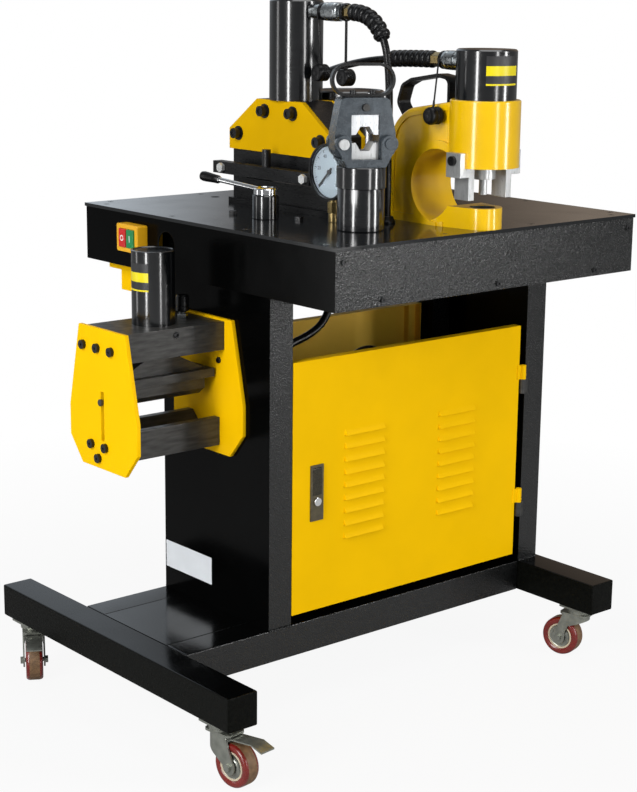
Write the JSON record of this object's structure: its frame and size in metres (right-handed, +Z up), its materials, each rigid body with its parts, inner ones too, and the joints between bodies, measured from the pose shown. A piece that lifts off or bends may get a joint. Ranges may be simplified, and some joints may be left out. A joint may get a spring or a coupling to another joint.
{
  "type": "busbar processing machine",
  "caption": "Wheeled stand with a steel table carrying a hydraulic busbar cutter, punch and crimper, a busbar bender hung on its end, and a louvred pump cabinet below.",
  "frame": {"origin": "on the floor, midway between the feet and between the front and rear of the column", "axes": "+Z up, front door towards -Y, bender towards -X"},
  "size_m": [0.9797, 0.7631, 1.245],
  "materials": {
    "black_paint": "hammered semi-gloss",
    "yellow_paint": "semi-gloss",
    "yellow_casting": "painted",
    "dark_steel": "satin black",
    "grey_steel": "satin grey",
    "bright_steel": "ground",
    "blackened_steel": "blackened",
    "chrome": "polished",
    "zinc": "zinc plated",
    "red_polyurethane": "gloss",
    "black_rubber": "matt",
    "needle_black": "matt",
    "yellow_plastic": "satin",
    "red_plastic": "gloss",
    "green_plastic": "gloss"
  },
  "bodies": {
    "stand": {"base_frame": "black_paint", "bend_guards": "black_rubber", "bender_block": "dark_steel", "bender_cylinder": "dark_steel", "bender_die": "dark_steel", "bender_plates": "yellow_paint", "cabinet_hose": "black_rubber", "caster_plates": "zinc", "column": "black_paint", "crimper_base": "grey_steel", "crimper_cylinder": "dark_steel", "crimper_handle": "dark_steel", "crimper_yoke": "grey_steel", "cutter_body": "dark_steel", "cutter_cylinder": "dark_steel", "cutter_head": "dark_steel", "cutter_hose": "black_rubber", "cutter_plates": "yellow_paint", "cutter_rail": "bright_steel", "fittings": "bright_steel", "gauge_case": "chrome", "header_tank": "dark_steel", "hinge_pins": "yellow_paint", "pump_unit": "dark_steel", "punch_cylinder": "dark_steel", "punch_frame": "yellow_casting", "punch_handle": "black_rubber", "punch_hose": "black_rubber", "rubber_caps": "black_rubber", "screws": "blackened_steel", "stripper_legs": "bright_steel", "switch_box": "yellow_plastic", "table_bracket": "yellow_paint", "table_skirt": "black_paint", "table_top": "black_paint", "valve_body": "dark_steel"},
    "front_door": {"front_door": "yellow_paint", "lock_plate": "chrome"},
    "rear_door": {"rear_door": "yellow_paint"},
    "lock_lever": {"lock_lever": "chrome"},
    "lock_button": {"lock_button": "chrome"},
    "stop_button": {"stop_button": "red_plastic"},
    "start_button": {"start_button": "green_plastic"},
    "bender_ram": {"bender_ram": "dark_steel"},
    "cutter_blade": {"cutter_blade": "bright_steel"},
    "punch_ram": {"punch_ram": "bright_steel"},
    "crimper_ram": {"crimper_ram": "bright_steel"},
    "latch_pin": {"latch_pin": "bright_steel"},
    "die_button": {"die_button": "bright_steel"},
    "gauge_needle": {"gauge_needle": "needle_black"},
    "valve_lever": {"valve_lever": "chrome"},
    "fork_front_left": {"fork_front_left": "zinc"},
    "wheel_front_left": {"wheel_front_left": "red_polyurethane"},
    "brake_pedal": {"brake_pedal": "zinc"},
    "fork_front_right": {"fork_front_right": "zinc"},
    "wheel_front_right": {"wheel_front_right": "red_polyurethane"},
    "fork_rear_left": {"fork_rear_left": "zinc"},
    "wheel_rear_left": {"wheel_rear_left": "red_polyurethane"},
    "rear_brake_pedal": {"rear_brake_pedal": "zinc"},
    "fork_rear_right": {"fork_rear_right": "zinc"},
    "wheel_rear_right": {"wheel_rear_right": "red_polyurethane"}
  },
  "joints": [
    {"name": "front_door_hinge", "type": "hinge", "parent": "stand", "child": "front_door", "pos_m": [0.39525, -0.1575, 0.411], "axis": [0, 0, 1], "range_deg": [0, 110]},
    {"name": "rear_door_hinge", "type": "hinge", "parent": "stand", "child": "rear_door", "pos_m": [-0.16825, 0.1575, 0.411], "axis": [0, 0, 1], "range_deg": [0, 110]},
    {"name": "lock_lever_lift", "type": "hinge", "parent": "front_door", "child": "lock_lever", "pos_m": [-0.1205, -0.1555, 0.441], "axis": [-1, 0, 0], "range_deg": [0, 40]},
    {"name": "lock_button_press", "type": "slide", "parent": "front_door", "child": "lock_button", "axis": [0, 1, 0], "range_m": [0, 0.0025], "stiffness_N_per_m": 150, "springref_m": -0.002},
    {"name": "stop_press", "type": "slide", "parent": "stand", "child": "stop_button", "axis": [1, 0, 0], "range_m": [0, 0.003], "stiffness_N_per_m": 200, "springref_m": -0.002},
    {"name": "start_press", "type": "slide", "parent": "stand", "child": "start_button", "axis": [1, 0, 0], "range_m": [0, 0.003], "stiffness_N_per_m": 200, "springref_m": -0.002},
    {"name": "bender_stroke", "type": "slide", "parent": "stand", "child": "bender_ram", "axis": [0, 0, -1], "range_m": [0, 0.05], "stiffness_N_per_m": 2000, "springref_m": -0.06},
    {"name": "cutter_stroke", "type": "slide", "parent": "stand", "child": "cutter_blade", "axis": [0, 0, -1], "range_m": [0, 0.024], "stiffness_N_per_m": 1500, "springref_m": -0.04},
    {"name": "punch_stroke", "type": "slide", "parent": "stand", "child": "punch_ram", "axis": [0, 0, -1], "range_m": [0, 0.024], "stiffness_N_per_m": 1500, "springref_m": -0.03},
    {"name": "crimper_stroke", "type": "slide", "parent": "stand", "child": "crimper_ram", "axis": [0, 0, 1], "range_m": [0, 0.0125], "stiffness_N_per_m": 1000, "springref_m": -0.01},
    {"name": "latch_pin_pull", "type": "slide", "parent": "stand", "child": "latch_pin", "axis": [-0.4384, -0.8988, 0], "range_m": [0, 0.075]},
    {"name": "die_button_press", "type": "slide", "parent": "stand", "child": "die_button", "axis": [0.4384, 0.8988, 0], "range_m": [0, 0.003], "stiffness_N_per_m": 150, "springref_m": -0.002},
    {"name": "gauge_reading", "type": "hinge", "parent": "stand", "child": "gauge_needle", "pos_m": [-0.06, -0.12, 0.957], "axis": [1, 0, 0], "range_deg": [0, 270], "stiffness_Nm_per_rad": 0.0005, "springref_deg": -45.84},
    {"name": "valve_turn", "type": "hinge", "parent": "stand", "child": "valve_lever", "pos_m": [-0.1255, -0.015, 0.912], "axis": [0, 0, 1], "range_deg": [0, 90]},
    {"name": "front_left_swivel", "type": "hinge", "parent": "stand", "child": "fork_front_left", "pos_m": [-0.4335, -0.295, 0.0907], "axis": [0, 0, 1], "continuous": true},
    {"name": "front_left_roll", "type": "hinge", "parent": "fork_front_left", "child": "wheel_front_left", "pos_m": [-0.42936, -0.32875, 0.0375], "axis": [0.9925, 0.1219, 0], "continuous": true},
    {"name": "brake_press", "type": "hinge", "parent": "fork_front_left", "child": "brake_pedal", "pos_m": [-0.43057, -0.31882, 0.0827], "axis": [0.9925, 0.1219, 0], "range_deg": [0, 12]},
    {"name": "front_right_swivel", "type": "hinge", "parent": "stand", "child": "fork_front_right", "pos_m": [0.4335, -0.295, 0.0907], "axis": [0, 0, 1], "continuous": true},
    {"name": "front_right_roll", "type": "hinge", "parent": "fork_front_right", "child": "wheel_front_right", "pos_m": [0.4247, -0.26216, 0.0375], "axis": [-0.9659, -0.2588, 0], "continuous": true},
    {"name": "rear_left_swivel", "type": "hinge", "parent": "stand", "child": "fork_rear_left", "pos_m": [-0.4335, 0.295, 0.0907], "axis": [0, 0, 1], "continuous": true},
    {"name": "rear_left_roll", "type": "hinge", "parent": "fork_rear_left", "child": "wheel_rear_left", "pos_m": [-0.4505, 0.26555, 0.0375], "axis": [0.866, -0.5, 0], "continuous": true},
    {"name": "rear_brake_press", "type": "hinge", "parent": "fork_rear_left", "child": "rear_brake_pedal", "pos_m": [-0.4455, 0.27421, 0.0827], "axis": [0.866, -0.5, 0], "range_deg": [0, 12]},
    {"name": "rear_right_swivel", "type": "hinge", "parent": "stand", "child": "fork_rear_right", "pos_m": [0.4335, 0.295, 0.0907], "axis": [0, 0, 1], "continuous": true},
    {"name": "rear_right_roll", "type": "hinge", "parent": "fork_rear_right", "child": "wheel_rear_right", "pos_m": [0.4505, 0.32444, 0.0375], "axis": [-0.866, 0.5, 0], "continuous": true}
  ]
}
